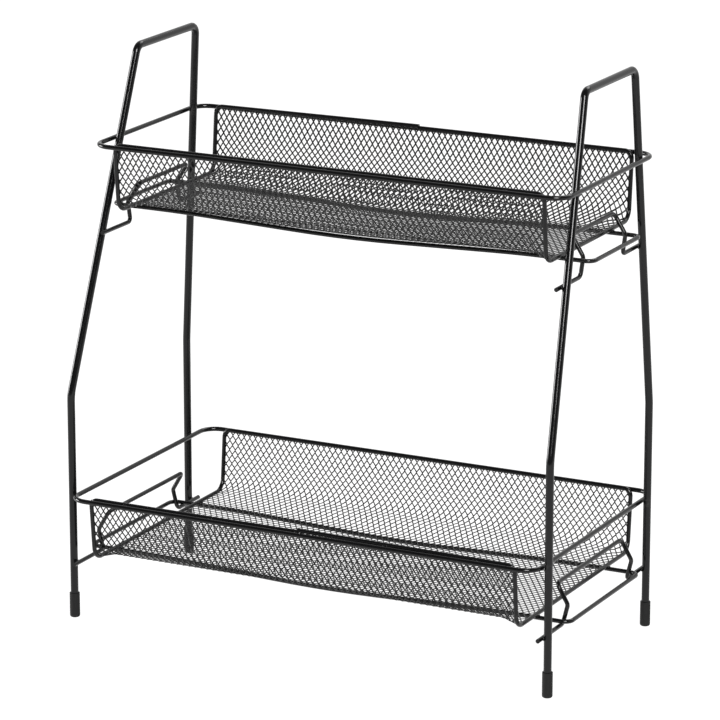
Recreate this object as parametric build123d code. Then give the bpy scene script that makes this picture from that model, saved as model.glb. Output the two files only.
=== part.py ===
# Tiered wire basket: two side frames, four wire hooks and two wire mesh baskets.
# Every length is in millimetres. X runs along the baskets, Y from front to back, Z up.
# The origin lies on the counter, under the middle of the lower basket.
import os
from dataclasses import dataclass
from math import atan, cos

from build123d import *

# Gaps: pieces that come apart, hook arms inside the base loop, wires welded side by side
fit_clearance = 0.3
hook_side_clearance = 2.0
weld_gap = 0.05

# Side frame, one rod bent into a handle and two legs
rod_diameter = 5.4
handle_height = 390.0
handle_length = 81.3
handle_middle_y = 30.8
knee_height = 160.0
foot_spread = 161.6
feet_middle_y = -4.5
handle_bend_radius = 6.5
knee_bend_radius = 30.0

# Rubber foot caps
cap_wall = 0.85
cap_height = 17.5
cap_floor = 2.5
cap_edge_radius = 1.4

# Wires of the baskets and hooks
rim_wire_diameter = 3.3
edge_wire_diameter = 3.0
base_wire_diameter = 3.0
hook_wire_diameter = 3.0

# Both baskets
rim_length = 350.0
rim_corner_radius = 12.0
mesh_end_margin = 15.5
edge_wire_lift = 1.2
edge_top_radius = 5.0
edge_bottom_radius = 9.0
butt_gap = 0.5
butt_step = 1.2
base_corner_radius = 6.0
base_dip = 4.3
base_dip_reach = 128.0
base_dip_radius = 1200.0

# Expanded mesh, with far larger gaps than the real sheet has
mesh_thickness = 1.0
mesh_strand_width = 2.2
mesh_gap_width = 22.5
mesh_gap_length = 33.0

# Lower basket
lower_rim_height = 89.0
lower_rim_width = 196.0
lower_basket_depth = 42.5
lower_wall_draw = 4.0
lower_base_overhang = 7.25

# Upper basket
upper_rim_height = 328.9
upper_rim_width = 148.0
upper_middle_y = 15.8
upper_basket_depth = 45.3
upper_wall_draw = 4.0
upper_base_overhang = 5.25

# Hooks
hook_nub = 7.0
hook_foot_radius = 3.5
hook_bulge_radius = 4.0
hook_top_radius = 4.0
hook_height = 27.5
hook_bulge_share = 0.5
lower_hook_width = 105.0
lower_hook_top_gap = 8.4
upper_hook_width = 68.6
upper_hook_drop = 9.4
upper_hook_bulge_gap = 5.9

# Sizes that follow from the ones above
rod_radius = rod_diameter / 2
rim_radius = rim_wire_diameter / 2
edge_radius = edge_wire_diameter / 2
base_radius = base_wire_diameter / 2
hook_radius = hook_wire_diameter / 2
rim_end_x = rim_length / 2
mesh_end_x = rim_end_x - mesh_end_margin

# The lower rim fits between the legs and the upper rim drops over them, so the legs lean
foot_x = rim_end_x + rim_radius + fit_clearance + rod_radius
upper_leg_x = rim_end_x - rim_radius - fit_clearance - rod_radius
leg_lean = (foot_x - upper_leg_x) / (upper_rim_height - knee_height)
lean_angle = atan(leg_lean)


@dataclass
class Tier:
    """The sizes of one basket and of the two hooks under it."""

    name: str
    middle_y: float
    rim_height: float
    rim_width: float
    basket_depth: float
    wall_draw: float
    base_overhang: float
    hook_width: float
    hook_drop: float
    hook_bulge_gap: float
    hook_top_gap: float
    butt_side: int

    @property
    def edge_half_width(self):
        """The edge wire is welded along the inner side of the rim wire."""
        return self.rim_width / 2 - rim_radius - weld_gap - edge_radius

    @property
    def floor_half_width(self):
        """The walls draw in towards the floor."""
        return self.edge_half_width - self.wall_draw

    @property
    def floor_height(self):
        """Centre of the edge wire where it crosses the floor."""
        return self.rim_height - self.basket_depth

    @property
    def base_height(self):
        """The base loop is welded to the underside of the edge wire."""
        return self.floor_height - edge_radius - base_radius

    @property
    def base_half_length(self):
        """The base loop stands out past the rim at both ends."""
        return rim_end_x + self.base_overhang

    @property
    def base_width(self):
        """The base loop goes round the arms of both hooks."""
        return self.hook_width + hook_wire_diameter + base_wire_diameter + 2 * hook_side_clearance

    @property
    def hook_foot_height(self):
        """The hook's feet lie below the base loop."""
        return self.base_height - base_radius - self.hook_drop - hook_radius

    @property
    def hook_bulge_x(self):
        """The arms bulge out towards the end bar of the base loop."""
        return self.base_half_length - base_radius - self.hook_bulge_gap - hook_radius

    @property
    def hook_top_x(self):
        """The top bar leans in towards the end of the mesh."""
        return mesh_end_x + edge_radius + self.hook_top_gap + hook_radius


def leg_point(side, end, height):
    """Centre of a leg: side is -1 left or 1 right, end is -1 front or 1 back."""
    foot_y = feet_middle_y + end * foot_spread / 2
    handle_y = handle_middle_y + end * handle_length / 2
    rise = max(height - knee_height, 0)
    y = foot_y + (handle_y - foot_y) * rise / (handle_height - knee_height)
    return Vector(side * (foot_x - leg_lean * rise), y, height)


def wire(path, radius):
    """A round wire along a path."""
    start = Plane(origin=path @ 0, z_dir=path % 0)
    return sweep(start * Circle(radius), path=path)


def side_frame(side):
    """One rod: front leg, handle bar and back leg."""
    corners = [
        leg_point(side, -1, cap_floor),
        leg_point(side, -1, knee_height),
        leg_point(side, -1, handle_height),
        leg_point(side, 1, handle_height),
        leg_point(side, 1, knee_height),
        leg_point(side, 1, cap_floor),
    ]
    radii = [knee_bend_radius, handle_bend_radius, handle_bend_radius, knee_bend_radius]
    return wire(FilletPolyline(*corners, radius=radii), rod_radius)


def foot_cap(side, end):
    """A sleeve with a closed, rounded bottom."""
    upright = (Align.CENTER, Align.CENTER, Align.MIN)
    cap = Cylinder(rod_radius + cap_wall, cap_height, align=upright)
    cap = fillet(cap.edges().group_by(Axis.Z)[0], cap_edge_radius)
    bore = Pos(0, 0, cap_floor) * Cylinder(rod_radius, cap_height, align=upright)
    foot = leg_point(side, end, 0)
    return Pos(foot.X, foot.Y, 0) * (cap - bore)


def hook(side, tier):
    """One wire: a foot on each leg, two kinked arms and a top bar that leans in."""
    low = tier.hook_foot_height
    middle = low + hook_height * hook_bulge_share
    high = low + hook_height
    foot_reach = leg_point(1, 1, low).X - (rod_radius + hook_radius) / cos(lean_angle)
    corners = []
    for end in (-1, 1):
        arm_y = tier.middle_y + end * tier.hook_width / 2
        nub_y = leg_point(side, end, low).Y + end * hook_nub
        arm = [
            Vector(side * foot_reach, nub_y, low),
            Vector(side * foot_reach, arm_y, low),
            Vector(side * tier.hook_bulge_x, arm_y, middle),
            Vector(side * tier.hook_top_x, arm_y, high),
        ]
        corners += arm if end < 0 else arm[::-1]
    bends = [hook_foot_radius, hook_bulge_radius, hook_top_radius]
    return wire(FilletPolyline(*corners, radius=bends + bends[::-1]), hook_radius)


def rim_wire(tier):
    """A closed ring of wire that runs round the legs, flat at one height."""
    outline = RectangleRounded(rim_length, tier.rim_width, rim_corner_radius).wire()
    return wire(Pos(0, tier.middle_y, tier.rim_height) * outline, rim_radius)


def base_loop(tier):
    """A closed loop of wire under the mesh. Its long runs dip between the mesh's ends."""
    end_x = tier.base_half_length
    run_y = tier.base_width / 2
    corners = [
        Vector(-end_x, 0, 0),
        Vector(-end_x, -run_y, 0),
        Vector(-base_dip_reach, -run_y, 0),
        Vector(0, -run_y, -base_dip),
        Vector(base_dip_reach, -run_y, 0),
        Vector(end_x, -run_y, 0),
        Vector(end_x, 0, 0),
    ]
    bends = [base_corner_radius, base_dip_radius, base_dip_radius, base_dip_radius, base_corner_radius]
    front_half = wire(FilletPolyline(*corners, radius=bends), base_radius)
    loop = front_half + mirror(front_half, about=Plane.XZ)
    return Pos(0, tier.middle_y, tier.base_height) * loop


def trough_profile(tier, hem=0):
    """Section of the trough from front rim to back rim, cut short by a hem at both rims."""
    top_height = tier.rim_height + edge_wire_lift
    wall = Vector(0, tier.wall_draw, top_height - tier.floor_height)
    drop = wall.normalized() * hem
    back_floor = Vector(0, tier.floor_half_width, tier.floor_height)
    back_top = Vector(0, tier.edge_half_width, top_height) - drop
    front_floor = Vector(0, -back_floor.Y, back_floor.Z)
    front_top = Vector(0, -back_top.Y, back_top.Z)
    return [front_top, front_floor, back_floor, back_top]


def edge_wire(tier):
    """The wire round the mesh: along both rims, down the ends and across the floor."""
    across = trough_profile(tier)[:: -tier.butt_side]
    butt = across[0]
    half_gap = Vector(-tier.butt_side * butt_gap / 2, 0, 0)
    mesh_end = Vector(-tier.butt_side * mesh_end_x, 0, 0)
    corners = [butt + half_gap + Vector(0, 0, butt_step)]
    corners += [point + mesh_end for point in across]
    corners += [point - mesh_end for point in across[::-1]]
    corners += [butt - half_gap]
    bends = [edge_top_radius, edge_bottom_radius, edge_bottom_radius, edge_top_radius]
    path = FilletPolyline(*corners, radius=bends + bends)
    return Pos(0, tier.middle_y, 0) * wire(path, edge_radius)


def mesh_gap(*tips):
    """Cutter for one gap: a cell of the mesh, less half a strand all round."""
    cell = make_face(Polyline(*tips, close=True))
    gap = offset(cell, amount=-mesh_strand_width / 2, kind=Kind.INTERSECTION)
    return extrude(gap, amount=mesh_thickness, both=True)


def mesh_gaps(panel, length):
    """Cutters for the staggered diamonds of one flat panel, given its line across the basket."""
    columns = round(length / mesh_gap_width)
    rows = 2 * round(panel.length / mesh_gap_length)
    half_width = length / columns / 2
    half_length = panel.length / rows
    left = (-half_width, 0)
    right = (half_width, 0)
    near = (0, -half_length)
    far = (0, half_length)
    whole = mesh_gap(left, near, right, far)
    at_first_row = mesh_gap(left, right, far)
    at_last_row = mesh_gap(left, near, right)
    at_left_end = mesh_gap(near, right, far)
    at_right_end = mesh_gap(near, far, left)
    surface = Plane(origin=panel @ 0, x_dir=(1, 0, 0), z_dir=Vector(1, 0, 0).cross(panel % 0))
    gaps = []
    for row in range(rows + 1):
        row_columns = columns + row % 2
        for column in range(row_columns):
            cutter = whole
            if row == 0:
                cutter = at_first_row
            elif row == rows:
                cutter = at_last_row
            elif row_columns > columns and column == 0:
                cutter = at_left_end
            elif row_columns > columns and column == columns:
                cutter = at_right_end
            x = (2 * column + 1 - row_columns) * half_width
            gaps.append(surface * Pos(x, row * half_length, 0) * cutter)
    return gaps


def mesh_trough(tier):
    """The mesh sheet, bent into a trough that is open at both ends. Its bends stay plain."""
    middle = FilletPolyline(*trough_profile(tier, hem=edge_radius), radius=edge_bottom_radius)
    start = Plane(origin=middle @ 0, x_dir=(1, 0, 0), z_dir=middle % 0)
    length = 2 * (mesh_end_x - edge_radius)
    sheet = sweep(start * Rectangle(length, mesh_thickness), path=middle)
    sheet_corners = sheet.edges().sort_by(SortBy.LENGTH)[:4]
    sheet = fillet(sheet_corners, edge_top_radius - edge_radius)
    for panel in middle.edges().filter_by(GeomType.LINE):
        sheet -= mesh_gaps(panel, length)
    return Pos(0, tier.middle_y, 0) * sheet


lower_tier = Tier(
    name="lower",
    middle_y=0,
    rim_height=lower_rim_height,
    rim_width=lower_rim_width,
    basket_depth=lower_basket_depth,
    wall_draw=lower_wall_draw,
    base_overhang=lower_base_overhang,
    hook_width=lower_hook_width,
    hook_drop=fit_clearance,
    hook_bulge_gap=fit_clearance,
    hook_top_gap=lower_hook_top_gap,
    butt_side=-1,
)
upper_tier = Tier(
    name="upper",
    middle_y=upper_middle_y,
    rim_height=upper_rim_height,
    rim_width=upper_rim_width,
    basket_depth=upper_basket_depth,
    wall_draw=upper_wall_draw,
    base_overhang=upper_base_overhang,
    hook_width=upper_hook_width,
    hook_drop=upper_hook_drop,
    hook_bulge_gap=upper_hook_bulge_gap,
    hook_top_gap=fit_clearance,
    butt_side=1,
)
tiers = [lower_tier, upper_tier]

pieces = {}
for side, side_name in ((-1, "left"), (1, "right")):
    pieces[f"{side_name}_side_frame"] = side_frame(side)
    for end, end_name in ((-1, "front"), (1, "back")):
        pieces[f"{side_name}_{end_name}_foot_cap"] = foot_cap(side, end)
    for tier in tiers:
        pieces[f"{tier.name}_{side_name}_hook"] = hook(side, tier)
for tier in tiers:
    pieces[f"{tier.name}_rim_wire"] = rim_wire(tier)
    pieces[f"{tier.name}_mesh_edge_wire"] = edge_wire(tier)
    pieces[f"{tier.name}_mesh_trough"] = mesh_trough(tier)
    pieces[f"{tier.name}_base_loop"] = base_loop(tier)

os.makedirs("parts", exist_ok=True)
for name, shape in pieces.items():
    export_step(shape, f"parts/{name}.step")
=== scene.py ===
# %% [markdown]
# # A tiered wire basket
# The real basket stands on a counter. Two bent rod side frames carry two long mesh troughs on
# wire hooks, and one satin black powder coat covers everything but the rubber foot caps.
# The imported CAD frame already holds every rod, wire and cap at its real size. This lesson adds
# what CAD keeps plain: the fine expanded mesh, the weld beads, the finishes, the studio and
# the camera.

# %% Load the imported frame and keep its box
from math import cos, pi, radians, tan

import bpy
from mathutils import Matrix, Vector


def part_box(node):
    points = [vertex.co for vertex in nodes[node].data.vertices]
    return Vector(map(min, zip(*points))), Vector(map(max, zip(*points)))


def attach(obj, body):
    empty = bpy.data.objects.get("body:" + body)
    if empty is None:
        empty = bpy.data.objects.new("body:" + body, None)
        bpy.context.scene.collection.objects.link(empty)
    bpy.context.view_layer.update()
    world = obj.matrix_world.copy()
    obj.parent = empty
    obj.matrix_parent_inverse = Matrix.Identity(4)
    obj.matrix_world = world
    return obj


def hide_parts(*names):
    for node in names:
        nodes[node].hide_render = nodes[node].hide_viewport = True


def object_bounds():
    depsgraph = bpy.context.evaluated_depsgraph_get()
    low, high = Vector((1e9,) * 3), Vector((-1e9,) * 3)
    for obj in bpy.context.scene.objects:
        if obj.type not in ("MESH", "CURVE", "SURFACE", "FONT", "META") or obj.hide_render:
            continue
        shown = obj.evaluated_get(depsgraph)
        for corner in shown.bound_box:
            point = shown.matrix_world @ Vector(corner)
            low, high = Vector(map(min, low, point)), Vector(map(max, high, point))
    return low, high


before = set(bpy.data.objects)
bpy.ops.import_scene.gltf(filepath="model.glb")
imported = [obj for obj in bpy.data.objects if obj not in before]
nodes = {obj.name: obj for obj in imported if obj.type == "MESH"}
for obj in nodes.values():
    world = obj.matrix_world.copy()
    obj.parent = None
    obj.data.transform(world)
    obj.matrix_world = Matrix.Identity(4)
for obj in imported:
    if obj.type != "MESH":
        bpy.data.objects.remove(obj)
cad_low, cad_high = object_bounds()
mm = 0.001
print("CAD box in mm:", [round(side / mm, 1) for side in cad_high - cad_low])

# %% [markdown]
# ## Camera
# The photograph was taken from the front right, a little above the basket, with a long lens:
# the legs hardly draw together towards the floor. A camera that is set from such facts can be
# checked against each of them. Its place comes from the basket's own straight wires, whose
# directions are known, so no guess about the room is needed.

# %% Camera
camera_place = (1.2645, -2.4849, 0.9606)
camera_azimuth = radians(27.0)
camera_tilt = radians(15.53)
camera_lens = 212.8
camera_sensor = 36.0

bpy.ops.object.camera_add(location=camera_place, rotation=(pi / 2 - camera_tilt, 0, camera_azimuth))
camera = bpy.context.object
camera.name = "photo_camera"
camera.data.lens = camera_lens
camera.data.sensor_width = camera_sensor
bpy.context.scene.camera = camera
bpy.context.scene.view_settings.view_transform = "Standard"
print("camera at", camera_place)

# %% [markdown]
# ## Nodes in few words
# Every material here is a tree of nodes, and each node is added, set and filled in. One helper
# does that in a line. A second one gives the mask that floor and room share: it is 1 for rays
# that show the backdrop itself, straight to the camera or through something clear.

# %% Helpers for nodes
white = (1, 1, 1, 1)


def node_in(tree, kind, values=(), **settings):
    """A node with some of its inputs and settings filled in."""
    node = tree.nodes.new(kind)
    for name, value in settings.items():
        setattr(node, name, value)
    for name, value in dict(values).items():
        node.inputs[name].default_value = value
    return node


def seen_mask(tree, light_path):
    """1 for rays that show the backdrop itself: from the camera or through something clear."""
    seen = node_in(tree, "ShaderNodeMath", operation="MAXIMUM")
    tree.links.new(light_path.outputs["Is Camera Ray"], seen.inputs[0])
    tree.links.new(light_path.outputs["Is Transmission Ray"], seen.inputs[1])
    return seen.outputs["Value"]


print("node helpers ready")

# %% [markdown]
# ## Floor
# The basket stands on a wide flat floor with white behind it. A floor that only the lamps
# light would need so much light that the black coat turns grey. So the camera, and any ray that
# went through something clear, sees a floor that glows by itself and keeps a little of its real
# shading, which is the basket's soft shadow. The coat mirrors that same white floor, and only
# light that bounces on meets an ordinary pale floor.

# %% Floor
floor_size = 14.0
floor_glow = 0.95
floor_shading = (0.15, 0.15, 0.15, 1)
floor_colour = (0.6, 0.6, 0.6, 1)

bpy.ops.object.select_all(action="DESELECT")
bpy.ops.mesh.primitive_plane_add(size=floor_size, location=(0, 0, 0))
floor = bpy.context.object
floor.name = "studio_floor"
floor_finish = bpy.data.materials.new("studio_floor")
floor_finish.use_nodes = True
tree = floor_finish.node_tree
tree.nodes.clear()
light_path = node_in(tree, "ShaderNodeLightPath")
glow = node_in(tree, "ShaderNodeEmission", {"Color": white, "Strength": floor_glow})
shading = node_in(tree, "ShaderNodeBsdfDiffuse", {"Color": floor_shading})
shown_floor = node_in(tree, "ShaderNodeAddShader")
shown = node_in(tree, "ShaderNodeMath", operation="MAXIMUM")
plain_floor = node_in(tree, "ShaderNodeBsdfDiffuse", {"Color": floor_colour})
chosen = node_in(tree, "ShaderNodeMixShader")
output = node_in(tree, "ShaderNodeOutputMaterial")
tree.links.new(glow.outputs["Emission"], shown_floor.inputs[0])
tree.links.new(shading.outputs["BSDF"], shown_floor.inputs[1])
tree.links.new(seen_mask(tree, light_path), shown.inputs[0])
tree.links.new(light_path.outputs["Is Glossy Ray"], shown.inputs[1])
tree.links.new(shown.outputs["Value"], chosen.inputs["Fac"])
tree.links.new(plain_floor.outputs["BSDF"], chosen.inputs[1])
tree.links.new(shown_floor.outputs["Shader"], chosen.inputs[2])
tree.links.new(chosen.outputs["Shader"], output.inputs["Surface"])
floor.data.materials.append(floor_finish)
print("floor", floor_size, "m wide, glow", floor_glow)

# %% [markdown]
# ## Room
# A glossy black wire shows the room more than its own colour. The wall behind the basket is
# white and the room round the camera is dark, so what the coat mirrors runs from nearly black in
# front to white at the back. The camera sees plain white behind the basket, and the light that
# fills the shadows comes evenly from all round.

# %% Room
front_dark = 0.07
back_bright = 1.0
room_fill = 0.45
# Where the mirrored room turns from dark to bright, on a scale from -1 in front to 1 at the back
dark_until = -0.1
bright_from = 0.7

world = bpy.data.worlds.new("studio_room")
world.use_nodes = True
bpy.context.scene.world = world
tree = world.node_tree
tree.nodes.clear()
light_path = node_in(tree, "ShaderNodeLightPath")
direction = node_in(tree, "ShaderNodeTexCoord")
split = node_in(tree, "ShaderNodeSeparateXYZ")
brightness = node_in(
    tree,
    "ShaderNodeMapRange",
    {"From Min": dark_until, "From Max": bright_from, "To Min": front_dark, "To Max": back_bright},
    interpolation_type="SMOOTHSTEP",
)
fill = node_in(tree, "ShaderNodeBackground", {"Color": white, "Strength": room_fill})
mirrored_room = node_in(tree, "ShaderNodeBackground", {"Color": white})
backdrop = node_in(tree, "ShaderNodeBackground", {"Color": white, "Strength": 1.0})
fill_or_mirrored = node_in(tree, "ShaderNodeMixShader")
chosen = node_in(tree, "ShaderNodeMixShader")
output = node_in(tree, "ShaderNodeOutputWorld")
tree.links.new(direction.outputs["Generated"], split.inputs["Vector"])
tree.links.new(split.outputs["Y"], brightness.inputs["Value"])
tree.links.new(brightness.outputs["Result"], mirrored_room.inputs["Strength"])
tree.links.new(light_path.outputs["Is Glossy Ray"], fill_or_mirrored.inputs["Fac"])
tree.links.new(fill.outputs["Background"], fill_or_mirrored.inputs[1])
tree.links.new(mirrored_room.outputs["Background"], fill_or_mirrored.inputs[2])
tree.links.new(seen_mask(tree, light_path), chosen.inputs["Fac"])
tree.links.new(fill_or_mirrored.outputs["Shader"], chosen.inputs[1])
tree.links.new(backdrop.outputs["Background"], chosen.inputs[2])
tree.links.new(chosen.outputs["Shader"], output.inputs["Surface"])
print("room from", front_dark, "to", back_bright, "mirrored, fill", room_fill)

# %% [markdown]
# ## Lamps
# What a black rod mirrors tells where the lamps stood. The leaning part of the right front leg
# carries a bright stripe down its middle and the straight part doesn't, so a softbox hangs high
# over the camera. The uprights have a thin bright line along their left edge, so a second one
# stands low at the left. The mesh floors are pale where they face the ceiling behind the basket,
# so a third, weak one hangs there. Area lamps give all three their soft edges.

# %% Lamps
# Each lamp: name, place, width, height, watts
lamps = [
    ("key_softbox", (1.8, -2.48, 2.09), 1.25, 1.55, 165.0),
    ("left_softbox", (-2.7, -0.7, 0.55), 1.3, 1.0, 75.0),
    ("ceiling_softbox", (0.35, 1.55, 2.2), 1.7, 1.2, 28.0),
]
basket_middle = (cad_low + cad_high) / 2
for lamp_name, place, width, height, watts in lamps:
    bpy.ops.object.light_add(type="AREA", location=place)
    lamp = bpy.context.object
    lamp.name = lamp_name
    lamp.data.shape = "RECTANGLE"
    lamp.data.size = width
    lamp.data.size_y = height
    lamp.data.energy = watts
    lamp.rotation_euler = (basket_middle - Vector(place)).to_track_quat("-Z", "Y").to_euler()
print("lamps:", [lamp[0] for lamp in lamps])

# %% [markdown]
# ## Grain of the powder coat
# Powder coat is sprayed as dust and baked until it flows, which leaves a very low orange peel:
# bumps about a millimetre apart and a few microns high. It could be a picture, but noise in
# Object coordinates keeps its true size on every wire. As several finishes need it, it is built
# once as a node group with named sockets and each material places it with its own values.

# %% Node group for grain


def new_group(name, inputs, outputs):
    """A shader node group whose sockets are numbers; inputs carry their default values."""
    number = "NodeSocketFloat"
    group = bpy.data.node_groups.new(name, "ShaderNodeTree")
    for socket_name, default in inputs.items():
        socket = group.interface.new_socket(socket_name, in_out="INPUT", socket_type=number)
        socket.default_value = default
    for socket_name in outputs:
        group.interface.new_socket(socket_name, in_out="OUTPUT", socket_type=number)
    start = node_in(group, "NodeGroupInput")
    end = node_in(group, "NodeGroupOutput")
    return group, start, end


grain_group, start, end = new_group(
    "surface_grain",
    {"Bumps per metre": 900.0, "Fine bumps per metre": 4200.0, "Fine share": 0.25},
    ["Height", "Gloss change"],
)
place = node_in(grain_group, "ShaderNodeTexCoord")
broad = node_in(grain_group, "ShaderNodeTexNoise", {"Detail": 2.0, "Roughness": 0.5})
fine = node_in(grain_group, "ShaderNodeTexNoise", {"Detail": 1.0, "Roughness": 0.5})
slow = node_in(grain_group, "ShaderNodeTexNoise", {"Scale": 60.0, "Detail": 3.0})
height_mix = node_in(grain_group, "ShaderNodeMix", data_type="FLOAT")
for noise in (broad, fine, slow):
    grain_group.links.new(place.outputs["Object"], noise.inputs["Vector"])
grain_group.links.new(start.outputs["Bumps per metre"], broad.inputs["Scale"])
grain_group.links.new(start.outputs["Fine bumps per metre"], fine.inputs["Scale"])
grain_group.links.new(start.outputs["Fine share"], height_mix.inputs["Factor"])
grain_group.links.new(broad.outputs["Fac"], height_mix.inputs["A"])
grain_group.links.new(fine.outputs["Fac"], height_mix.inputs["B"])
grain_group.links.new(height_mix.outputs["Result"], end.inputs["Height"])
grain_group.links.new(slow.outputs["Fac"], end.inputs["Gloss change"])
print("node group", grain_group.name)

# %% [markdown]
# ## Rubbed places
# The coat wears first where the baskets are lifted on and off: where the rims meet the legs and
# the base loops meet the hooks. The wear is faint on a new basket, no more than a paler tone. A
# band of heights picks the places and noise breaks the band up, so one group serves every
# coated piece.

# %% Node group for rubbed bands
rub_group, start, end = new_group(
    "rubbed_band",
    {"Band height": 0.329, "Band half width": 0.004, "Patches per metre": 260.0},
    ["Mask"],
)
place = node_in(rub_group, "ShaderNodeTexCoord")
split = node_in(rub_group, "ShaderNodeSeparateXYZ")
offset = node_in(rub_group, "ShaderNodeMath", operation="SUBTRACT")
distance = node_in(rub_group, "ShaderNodeMath", operation="ABSOLUTE")
share = node_in(rub_group, "ShaderNodeMath", operation="DIVIDE")
inside = node_in(rub_group, "ShaderNodeMath", operation="SUBTRACT", use_clamp=True)
inside.inputs[0].default_value = 1.0
patches = node_in(rub_group, "ShaderNodeTexNoise", {"Detail": 4.0, "Roughness": 0.65})
patch_edges = node_in(rub_group, "ShaderNodeMapRange", {"From Min": 0.45, "From Max": 0.62})
mask = node_in(rub_group, "ShaderNodeMath", operation="MULTIPLY")
rub_group.links.new(place.outputs["Object"], split.inputs["Vector"])
rub_group.links.new(place.outputs["Object"], patches.inputs["Vector"])
rub_group.links.new(start.outputs["Patches per metre"], patches.inputs["Scale"])
rub_group.links.new(split.outputs["Z"], offset.inputs[0])
rub_group.links.new(start.outputs["Band height"], offset.inputs[1])
rub_group.links.new(offset.outputs["Value"], distance.inputs[0])
rub_group.links.new(distance.outputs["Value"], share.inputs[0])
rub_group.links.new(start.outputs["Band half width"], share.inputs[1])
rub_group.links.new(share.outputs["Value"], inside.inputs[1])
rub_group.links.new(patches.outputs["Fac"], patch_edges.inputs["Value"])
rub_group.links.new(inside.outputs["Value"], mask.inputs[0])
rub_group.links.new(patch_edges.outputs["Result"], mask.inputs[1])
rub_group.links.new(mask.outputs["Value"], end.inputs["Mask"])
print("node group", rub_group.name)

# %% [markdown]
# ## Coated and rubber finishes
# All finishes are one recipe with different numbers: a dark base whose tone drifts a little, a
# roughness that drifts with it, a low bump from the grain, and rubbed bands. Only colours,
# roughness and the bump change over the surface; what is the same all over is set on the
# shader's own socket.
# The mesh's coat is the roughest of the black ones, because the spray builds up unevenly on its
# thousands of thin edges: it shows a lamp as a soft sheen where the wires show a sharp line.

# %% Recipe for a finish
# Noise nearly always stays between these two values
noise_low = 0.3
noise_high = 0.7


def colour_mix(tree, factor, first, second):
    """Mixes two colours or colour outputs by a mask output."""
    mix = node_in(tree, "ShaderNodeMix", data_type="RGBA")
    tree.links.new(factor, mix.inputs["Factor"])
    for socket, colour in ((mix.inputs[6], first), (mix.inputs[7], second)):
        if isinstance(colour, tuple):
            socket.default_value = colour
        else:
            tree.links.new(colour, socket)
    return mix.outputs[2]


def finish_recipe(name, tones, rough_low, rough_high, grain, bump_height, bands, specular):
    """A procedural material: drifting tone, grain in roughness and bump, and rubbed bands."""
    dark, pale, rubbed = tones
    material = bpy.data.materials.new(name)
    material.use_nodes = True
    tree = material.node_tree
    shader = tree.nodes["Principled BSDF"]
    shader.inputs["Specular IOR Level"].default_value = specular
    surface = node_in(tree, "ShaderNodeGroup", grain, node_tree=grain_group)
    colour = colour_mix(tree, surface.outputs["Gloss change"], dark, pale)
    roughness = node_in(
        tree,
        "ShaderNodeMapRange",
        {"From Min": noise_low, "From Max": noise_high, "To Min": rough_low, "To Max": rough_high},
    )
    tree.links.new(surface.outputs["Gloss change"], roughness.inputs["Value"])
    for height, half_width in bands:
        place = {"Band height": height, "Band half width": half_width}
        band = node_in(tree, "ShaderNodeGroup", place, node_tree=rub_group)
        colour = colour_mix(tree, band.outputs["Mask"], colour, rubbed)
    bump = node_in(tree, "ShaderNodeBump", {"Strength": 1.0, "Distance": bump_height})
    tree.links.new(surface.outputs["Height"], bump.inputs["Height"])
    tree.links.new(colour, shader.inputs["Base Color"])
    tree.links.new(roughness.outputs["Result"], shader.inputs["Roughness"])
    tree.links.new(bump.outputs["Normal"], shader.inputs["Normal"])
    return material


print("finish recipe ready")

# %% [markdown]
# ## Heights where pieces meet
# The rubbed bands follow the CAD pieces. Their heights are read from the frame, so the finish
# stays right when a basket's height changes.

# %% Heights of rims and hooks
tiers = ("lower", "upper")
rim_height = {}
hook_height = {}
for tier in tiers:
    low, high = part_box(f"{tier}_rim_wire")
    rim_height[tier] = (low.z + high.z) / 2
    low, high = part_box(f"{tier}_left_hook")
    hook_height[tier] = (low.z + high.z) / 2
print("rims at", [round(rim_height[tier] / mm, 1) for tier in tiers], "mm")
print("hooks at", [round(hook_height[tier] / mm, 1) for tier in tiers], "mm")

# %% [markdown]
# ## Four finishes
# Rods, wires and mesh share one black, but their bands and roughness differ. Rubber is paler
# and dull, with a finer and deeper grain, and a little dust sticks to its lower edge. Each
# specular level is below the usual half, because a coat that mirrored the white floor at full
# strength would look grey where the photograph is black.

# %% Finishes
coat_dark = (0.0022, 0.0022, 0.0024, 1)
coat_pale = (0.0042, 0.0042, 0.0044, 1)
coat_rubbed = (0.02, 0.0195, 0.019, 1)
coat_bump = 0.006 * mm
rim_rub = 4 * mm
hook_rub = 3 * mm
rod_bands = [(rim_height["lower"], rim_rub), (rim_height["upper"], rim_rub)]
hook_bands = [(hook_height["lower"], hook_rub), (hook_height["upper"], hook_rub)]
coat_grain = {"Bumps per metre": 850.0, "Fine bumps per metre": 3800.0, "Fine share": 0.2}
mesh_grain = {"Bumps per metre": 1500.0, "Fine bumps per metre": 5200.0, "Fine share": 0.35}
rubber_grain = {"Bumps per metre": 3200.0, "Fine bumps per metre": 9000.0, "Fine share": 0.5}

coat_tones = (coat_dark, coat_pale, coat_rubbed)
rod_coat = finish_recipe(
    "rod_powder_coat",
    coat_tones,
    rough_low=0.1,
    rough_high=0.16,
    grain=coat_grain,
    bump_height=coat_bump,
    bands=rod_bands,
    specular=0.28,
)
wire_coat = finish_recipe(
    "wire_powder_coat",
    coat_tones,
    rough_low=0.1,
    rough_high=0.17,
    grain=coat_grain,
    bump_height=coat_bump,
    bands=hook_bands,
    specular=0.28,
)
mesh_coat = finish_recipe(
    "mesh_powder_coat",
    coat_tones,
    rough_low=0.42,
    rough_high=0.52,
    grain=mesh_grain,
    bump_height=coat_bump,
    bands=[],
    specular=0.3,
)

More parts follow.
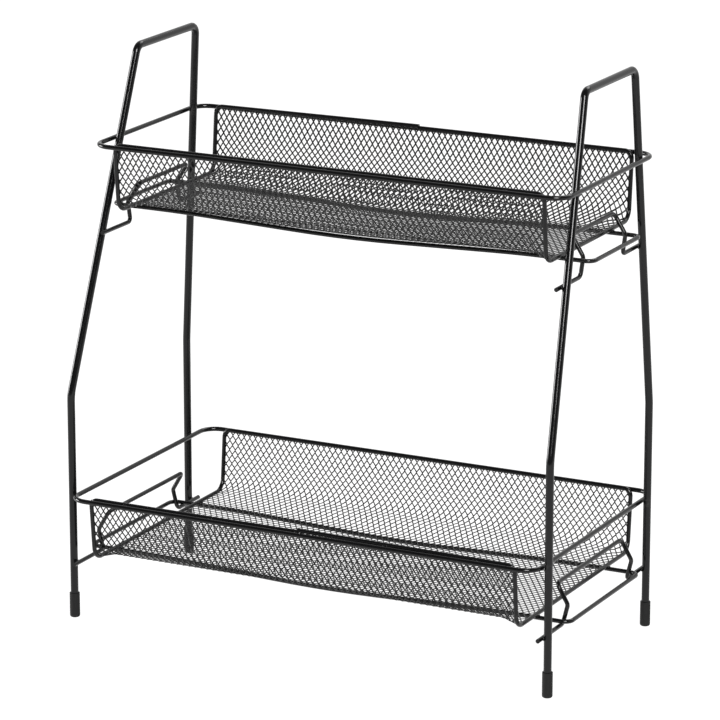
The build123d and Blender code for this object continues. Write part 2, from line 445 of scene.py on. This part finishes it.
cap_dark = (0.005, 0.005, 0.005, 1)
cap_pale = (0.01, 0.01, 0.01, 1)
cap_dusty = (0.035, 0.034, 0.032, 1)
cap_bump = 0.03 * mm
dust_height = 2 * mm
rubber = finish_recipe(
    "foot_cap_rubber",
    (cap_dark, cap_pale, cap_dusty),
    rough_low=0.62,
    rough_high=0.8,
    grain=rubber_grain,
    bump_height=cap_bump,
    bands=[(0.0, dust_height)],
    specular=0.22,
)
print("finishes:", [finish.name for finish in (rod_coat, wire_coat, mesh_coat, rubber)])

# %% [markdown]
# ## Finishes on the CAD pieces
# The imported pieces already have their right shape, so each only needs its finish. The CAD mesh
# troughs are left out, because finer ones take their place.

# %% Dress the CAD pieces


def dress(node_name, material):
    """Puts one finish on a CAD node."""
    node = nodes[node_name]
    node.data.materials.clear()
    node.data.materials.append(material)


dressed = 0
for node_name in nodes:
    if node_name.endswith("mesh_trough"):
        continue
    if node_name.endswith("side_frame"):
        dress(node_name, rod_coat)
    elif node_name.endswith("foot_cap"):
        dress(node_name, rubber)
    else:
        dress(node_name, wire_coat)
    dressed += 1
print("pieces dressed:", dressed)

# %% [markdown]
# ## Flat mesh
# The troughs are expanded metal: a thin sheet is slit in staggered rows and pulled open, so each
# slit becomes a diamond and the strands between them tilt a little. Wires laid across each other
# would cross over and under, which this mesh doesn't do. A grid is the right start: every grid
# cell is poked, which draws both diagonals, and when the old grid lines are dissolved, only
# diamonds are left. Each diamond is then inset on its own and its inside deleted.

# %% Flat mesh
# Each mesh: one diamond's width along the basket, its length up the wall
mesh_cells = {"lower": (4.6 * mm, 7.12 * mm), "upper": (4.4 * mm, 7.25 * mm)}
strand_half_width = {"lower": 0.27 * mm, "upper": 0.35 * mm}


def select_only(chosen):
    """Leaves one object alone selected and active."""
    bpy.ops.object.select_all(action="DESELECT")
    chosen.select_set(True)
    bpy.context.view_layer.objects.active = chosen


def flat_mesh(name, width, length, cell, half_strand):
    """A flat sheet of diamonds, its width along X from zero and its length along Y."""
    cell_width, cell_length = cell
    rows = round(width / cell_length)
    columns = round(length / cell_width)
    bpy.ops.object.select_all(action="DESELECT")
    bpy.ops.mesh.primitive_grid_add(x_subdivisions=rows, y_subdivisions=columns, size=1)
    sheet = bpy.context.object
    sheet.name = name
    sheet.scale = (width, length, 1)
    sheet.location = (width / 2, 0, 0)
    bpy.ops.object.transform_apply(location=True, rotation=False, scale=True)
    bpy.ops.object.mode_set(mode="EDIT")
    bpy.ops.mesh.select_mode(type="EDGE")
    bpy.ops.mesh.select_all(action="SELECT")
    bpy.ops.mesh.poke()
    bpy.ops.mesh.select_all(action="DESELECT")
    bpy.ops.object.mode_set(mode="OBJECT")
    points = sheet.data.vertices
    near = 0.01 * mm
    for edge in sheet.data.edges:
        one, two = (points[i].co for i in edge.vertices)
        along_x = abs(one.y - two.y) < near and abs(one.y) < length / 2 - near
        along_y = abs(one.x - two.x) < near and near < one.x < width - near
        edge.select = along_x or along_y
    bpy.ops.object.mode_set(mode="EDIT")
    bpy.ops.mesh.dissolve_edges(use_verts=False)
    bpy.ops.mesh.select_mode(type="FACE")
    bpy.ops.mesh.select_all(action="SELECT")
    bpy.ops.mesh.inset(thickness=half_strand, use_individual=True)
    bpy.ops.mesh.delete(type="FACE")
    bpy.ops.object.mode_set(mode="OBJECT")
    print(name, rows, "by", columns, "cells,", len(sheet.data.polygons), "strand faces")
    return sheet, width / rows, length / columns


print("diamonds in mm:", {tier: [side / mm for side in mesh_cells[tier]] for tier in tiers})

# %% [markdown]
# ## Tilted strands and bonds
# Pulling the slits open turns each strand like the slat of a blind: its edge towards one diamond
# rises and its edge towards the next one sinks. It also leaves a bond, a longer solid knot,
# where four strands meet. Both are made by moving the inner corners of the diamonds, which are
# picked by which side of their nearest grid line they lie on. The photograph shows the strands
# of the lower mesh edge on where those of the upper one are seen flat, so the two sheets were
# folded with opposite faces inwards and their strands tilt opposite ways.

# %% Tilted strands and bonds
strand_tilt = {"lower": -0.17 * mm, "upper": 0.2 * mm}
bond_growth = 0.35 * mm
# In half cells: a point further from a grid line than the first lies beside it, and one nearer
# than the second lies on it
beside_line_share = 0.05
on_line_share = 0.02


def shape_strands(sheet, cell_length, cell_width, length, tilt):
    """Tilts the strands and lengthens the bonds of a flat mesh."""
    half_width = cell_width / 2
    half_length = cell_length / 2
    for side in (-1, 1):
        for tips in ("side", "long"):
            bpy.ops.object.mode_set(mode="EDIT")
            bpy.ops.mesh.select_mode(type="VERT")
            bpy.ops.mesh.select_all(action="DESELECT")
            bpy.ops.object.mode_set(mode="OBJECT")
            for point in sheet.data.vertices:
                from_column = (point.co.y + length / 2) / half_width
                from_row = point.co.x / half_length
                column_rest = from_column - round(from_column)
                row_rest = from_row - round(from_row)
                rest = column_rest if tips == "side" else row_rest
                other = row_rest if tips == "side" else column_rest
                point.select = rest * side > beside_line_share and abs(other) < on_line_share
            bpy.ops.object.mode_set(mode="EDIT")
            shift = (0, 0, side * tilt) if tips == "side" else (side * bond_growth, 0, 0)
            bpy.ops.transform.translate(value=shift)
    bpy.ops.object.mode_set(mode="OBJECT")


print("strands tilt by", {tier: tilt / mm for tier, tilt in strand_tilt.items()}, "mm")

# %% [markdown]
# ## Section of a trough
# The sheet is folded over a former into a trough whose walls lean out a little. A curve with the
# shape of the section does the same here: the Curve modifier lays the flat sheet along it, and
# the strands keep their real size round the bends. The modifier bends cleanly only in the
# curve's own flat plane, so curve and sheet are both made lying down and stood up together.
# The section comes from the CAD edge wire, as the mesh is welded to that wire's middle all round.

# %% Section of a trough
edge_wire_radius = 1.5 * mm
edge_wire_lift = 1.2 * mm
wall_draw = 4.0 * mm
bend_radius = 9.0 * mm
bend_steps = 16
stood_up = (pi / 2, 0, pi / 2)


def trough_section(tier):
    """Corners of the section from the front rim to the back rim, and half the mesh's length."""
    low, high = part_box(f"{tier}_mesh_edge_wire")
    middle = (low.y + high.y) / 2
    half_top = (high.y - low.y) / 2 - edge_wire_radius
    half_floor = half_top - wall_draw
    floor_z = low.z + edge_wire_radius
    top_z = rim_height[tier] + edge_wire_lift
    corners = [
        Vector((middle - half_top, top_z, 0)),
        Vector((middle - half_floor, floor_z, 0)),
        Vector((middle + half_floor, floor_z, 0)),
        Vector((middle + half_top, top_z, 0)),
    ]
    return corners, high.x - edge_wire_radius


for tier in tiers:
    corners, half_length = trough_section(tier)
    print(tier, "section", [(round(c.x / mm, 1), round(c.y / mm, 1)) for c in corners], "mm")

# %% [markdown]
# ## Curve along a section
# The curve needs round bends of the right radius between its straight stretches. A Bezier curve
# gives each bend with two points, one where it starts and one where it ends, and handles whose
# length follows from the angle of the bend.

# %% Curve along a section


def section_curve(name, corners):
    """A curve through the corners with round bends, and its length."""
    data = bpy.data.curves.new(name, "CURVE")
    data.dimensions = "2D"
    data.resolution_u = bend_steps
    first, front, back, last = corners
    lead = (front - first).normalized() * bend_radius
    stops = [(first, first - lead, first + lead)]
    length = 0
    reached = first
    for before, corner, after in ((first, front, back), (front, back, last)):
        inward = (corner - before).normalized()
        outward = (after - corner).normalized()
        turn = inward.angle(outward)
        cut = bend_radius * tan(turn / 2)
        pull = 4 / 3 * tan(turn / 4) * bend_radius
        entry = corner - inward * cut
        leave = corner + outward * cut
        stops.append((entry, entry - inward * pull, entry + inward * pull))
        stops.append((leave, leave - outward * pull, leave + outward * pull))
        length += (entry - reached).length + bend_radius * turn
        reached = leave
    lead = (last - back).normalized() * bend_radius
    stops.append((last, last - lead, last + lead))
    length += (last - reached).length
    spline = data.splines.new("BEZIER")
    spline.bezier_points.add(len(stops) - 1)
    for stop, (place, handle_in, handle_out) in zip(spline.bezier_points, stops):
        stop.handle_left_type = "FREE"
        stop.handle_right_type = "FREE"
        stop.co = place
        stop.handle_left = handle_in
        stop.handle_right = handle_out
    curve = bpy.data.objects.new(name, data)
    curve.rotation_euler = stood_up
    bpy.context.scene.collection.objects.link(curve)
    return curve, length


print("bends of", bend_radius / mm, "mm radius in", bend_steps, "steps")

# %% [markdown]
# ## Dished floor
# A basket's floor is only welded at its two ends. Between them the base loop dips a few
# millimetres and the thin sheet settles on it, while the sheet's own stiffness lifts it clear of
# a sharp bend, so the floor slopes up to both walls. A vertex group says how much of a move each
# point takes, nothing at the ends and all of it in the middle, and a Displace modifier moves the
# points by that share. Moving them by hand would leave steps.

# %% Dished floor
floor_drop = 4.2 * mm
bend_rise = {"lower": 3.5 * mm, "upper": 5.5 * mm}
rise_height = 30.0 * mm
rise_ramp = 14.0 * mm
loop_wire_radius = 1.5 * mm


def smooth_step(share):
    share = min(max(share, 0), 1)
    return share * share * (3 - 2 * share)


def shift_up(sheet, name, shares, distance):
    """Moves each point of a sheet up by its own share of a distance."""
    group = sheet.vertex_groups.new(name=name)
    for index, share in enumerate(shares):
        if share > 0:
            group.add([index], share, "REPLACE")
    select_only(sheet)
    shift = sheet.modifiers.new(name, "DISPLACE")
    shift.direction = "Z"
    shift.mid_level = 0
    shift.strength = distance
    shift.vertex_group = name
    bpy.ops.object.modifier_apply(modifier=name)
    sheet.vertex_groups.clear()


print("floor drop", floor_drop / mm, "mm")

# %% [markdown]
# ## Shares of the two moves
# The drop is a cosine along the basket and fades out between the base loop's long run and the
# bend. The rise starts at that run, is full at the bend and fades out up the wall and at the
# welded ends.

# %% Settle a floor


def settle_floor(sheet, tier, corners, half_length):
    """Lowers the middle of a trough's floor onto the base loop and lifts its long bends."""
    loop_low, loop_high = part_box(f"{tier}_base_loop")
    middle = (loop_low.y + loop_high.y) / 2
    loop_y = (loop_high.y - loop_low.y) / 2 - loop_wire_radius
    bend_y = corners[2].x - middle
    flat_y = bend_y - bend_radius
    floor_z = corners[2].y
    floor_top = bend_radius / 4
    drops = []
    rises = []
    for point in sheet.data.vertices:
        from_middle = abs(point.co.y - middle)
        above = point.co.z - floor_z
        along = (1 + cos(pi * point.co.x / half_length)) / 2
        across = smooth_step((flat_y - from_middle) / (flat_y - loop_y))
        drops.append(along * across if above < floor_top else 0)
        clear_of_end = smooth_step((half_length - abs(point.co.x)) / rise_ramp)
        towards_bend = smooth_step((from_middle - loop_y) / (bend_y - loop_y))
        towards_floor = smooth_step(1 - above / rise_height)
        rises.append(clear_of_end * towards_bend * towards_floor)
    shift_up(sheet, "floor_drop", drops, -floor_drop)
    shift_up(sheet, "bend_rise", rises, bend_rise[tier])
    print(sheet.name, "floor down", floor_drop / mm, "mm, bends up", bend_rise[tier] / mm, "mm")


print("rise of the bends:", {tier: rise / mm for tier, rise in bend_rise.items()}, "mm")

# %% [markdown]
# ## Fold the sheets into troughs
# With its section and its dish ready, each flat mesh is bent, lowered in the middle and only
# then given its thickness, so the strands are as thick on the bends as on the walls.

# %% Fold the sheets into troughs
strand_thickness = 0.42 * mm
strand_edge_angle = radians(40)
for tier in tiers:
    corners, half_length = trough_section(tier)
    curve, width = section_curve(f"{tier}_section", corners)
    sheet, cell_length, cell_width = flat_mesh(
        f"{tier}_expanded_mesh", width, 2 * half_length, mesh_cells[tier], strand_half_width[tier]
    )
    shape_strands(sheet, cell_length, cell_width, 2 * half_length, strand_tilt[tier])
    select_only(sheet)
    sheet.rotation_euler = (pi / 2, 0, 0)
    bpy.ops.object.transform_apply(location=False, rotation=True, scale=False)
    sheet.rotation_euler = stood_up
    fold = sheet.modifiers.new("fold", "CURVE")
    fold.object = curve
    fold.deform_axis = "POS_X"
    bpy.ops.object.modifier_apply(modifier="fold")
    bpy.ops.object.transform_apply(location=False, rotation=True, scale=False)
    settle_floor(sheet, tier, corners, half_length)
    solid = sheet.modifiers.new("strand_thickness", "SOLIDIFY")
    solid.thickness = strand_thickness
    solid.offset = 0
    bpy.ops.object.modifier_apply(modifier="strand_thickness")
    bpy.ops.object.shade_smooth_by_angle(angle=strand_edge_angle)
    sheet.data.materials.append(mesh_coat)
    bpy.data.objects.remove(curve)
    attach(sheet, f"{tier}_basket")
    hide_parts(f"{tier}_mesh_trough")
    lows = [min(p.co[i] for p in sheet.data.vertices) / mm for i in range(3)]
    highs = [max(p.co[i] for p in sheet.data.vertices) / mm for i in range(3)]
    print(sheet.name, "from", [round(v, 1) for v in lows], "to", [round(v, 1) for v in highs])
    print(len(sheet.data.polygons), "faces")

# %% [markdown]
# ## Weld beads
# The wires are resistance welded: they are pressed together where they cross, and the current
# squeezes a little collar of steel out of the joint, which the coat then rounds over. Joining the
# wires with a Boolean would leave a sharp crease instead. One bead is shaped from a sphere whose
# points are shaken a little and smoothed, so that its outline is soft but not even. Every joint
# then gets its own copy of it, flattened and stretched to that joint.

# %% One weld bead
bead_shake = 0.11
bead_shake_outward_share = 0.6
bead_smooth_share = 0.5
bead_smooth_rounds = 2
bead_seed = 7

bpy.ops.object.select_all(action="DESELECT")
bpy.ops.mesh.primitive_ico_sphere_add(subdivisions=3, radius=1)
first_bead = bpy.context.object
first_bead.name = "first_weld_bead"
bpy.ops.object.mode_set(mode="EDIT")
bpy.ops.mesh.select_all(action="SELECT")
bpy.ops.transform.vertex_random(
    offset=bead_shake, uniform=0, normal=bead_shake_outward_share, seed=bead_seed
)
bpy.ops.mesh.vertices_smooth(factor=bead_smooth_share, repeat=bead_smooth_rounds)
bpy.ops.object.mode_set(mode="OBJECT")
bpy.ops.object.shade_smooth()
print("bead of", len(first_bead.data.polygons), "faces")

# %% [markdown]
# ## Places of the welds
# The places follow from the boxes of the CAD wires. Each hook's two feet are welded to the inner
# sides of the legs, each edge wire to its rim at five spots a side, low in the groove between
# the two, and each base loop to the edge wire where it passes under the end of the mesh.

# %% Places of the welds
rim_wire_radius = 1.65 * mm
hook_wire_radius = 1.5 * mm
hook_nub = 7.0 * mm
rim_weld_step = 66.0 * mm
rim_weld_spots = range(-2, 3)
foot_bead = (0.95 * mm, 1.9 * mm, 1.75 * mm)
rim_bead = (1.9 * mm, 0.7 * mm, 0.65 * mm)
loop_bead = (1.8 * mm, 1.8 * mm, 0.75 * mm)


def foot_welds(tier):
    """Where the feet of a tier's hooks touch the legs, with the size of the bead there."""
    welds = []
    for side in ("left", "right"):
        hook = nodes[f"{tier}_{side}_hook"]
        low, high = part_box(f"{tier}_{side}_hook")
        points = [hook.matrix_world @ point.co for point in hook.data.vertices]
        nub_x = [point.x for point in points if point.y < low.y + hook_nub]
        foot_x = min(nub_x) if side == "left" else max(nub_x)
        foot_z = low.z + hook_wire_radius
        welds.append(((foot_x, low.y + hook_nub, foot_z), foot_bead))
        welds.append(((foot_x, high.y - hook_nub, foot_z), foot_bead))
    return welds


def basket_welds(tier):
    """Welds along both rims of one basket and where its base loop crosses the edge wire."""
    rim_low, rim_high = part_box(f"{tier}_rim_wire")
    edge_low, edge_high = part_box(f"{tier}_mesh_edge_wire")
    loop_low, loop_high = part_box(f"{tier}_base_loop")
    welds = []
    groove_z = rim_height[tier] + edge_wire_lift / 2 + rim_bead[2]
    front_groove = (rim_low.y + edge_low.y) / 2 + rim_wire_radius
    back_groove = (rim_high.y + edge_high.y) / 2 - rim_wire_radius
    for groove_y in (front_groove, back_groove):
        for spot in rim_weld_spots:
            welds.append(((spot * rim_weld_step, groove_y, groove_z), rim_bead))
    for loop_y in (loop_low.y + loop_wire_radius, loop_high.y - loop_wire_radius):
        for edge_x in (edge_low.x + edge_wire_radius, edge_high.x - edge_wire_radius):
            welds.append(((edge_x, loop_y, loop_high.z), loop_bead))
    return welds


for tier in tiers:
    feet = sorted({round(abs(place[0]) / mm, 2) for place, size in foot_welds(tier)})
    print(tier, "feet welded at x", feet, "mm,", len(basket_welds(tier)), "welds on the basket")

# %% [markdown]
# ## Beads at the welds
# The feet of the hooks belong to the rack and the other welds to a basket, so the beads are
# joined into one piece for each body. Each basket then takes its own welds along when it is
# lifted off.

# %% Place the beads


def place_beads(name, welds, body, coat):
    """Copies the first bead to each weld and joins the copies into one piece of a body."""
    copies = []
    for place, size in welds:
        select_only(first_bead)
        bpy.ops.object.duplicate()
        bead = bpy.context.object
        bead.location = place
        bead.scale = size
        bpy.ops.object.transform_apply(location=True, rotation=False, scale=True)
        copies.append(bead)
    bpy.ops.object.select_all(action="DESELECT")
    for bead in copies:
        bead.select_set(True)
    bpy.context.view_layer.objects.active = copies[0]
    bpy.ops.object.join()
    joined = bpy.context.object
    joined.name = name
    joined.data.materials.append(coat)
    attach(joined, body)
    print(name, len(welds), "beads")


all_foot_welds = foot_welds("lower") + foot_welds("upper")
place_beads("hook_foot_welds", all_foot_welds, "rack", wire_coat)
for tier in tiers:
    welds = basket_welds(tier)
    place_beads(f"{tier}_basket_welds", welds, f"{tier}_basket", wire_coat)
bpy.data.objects.remove(first_bead)
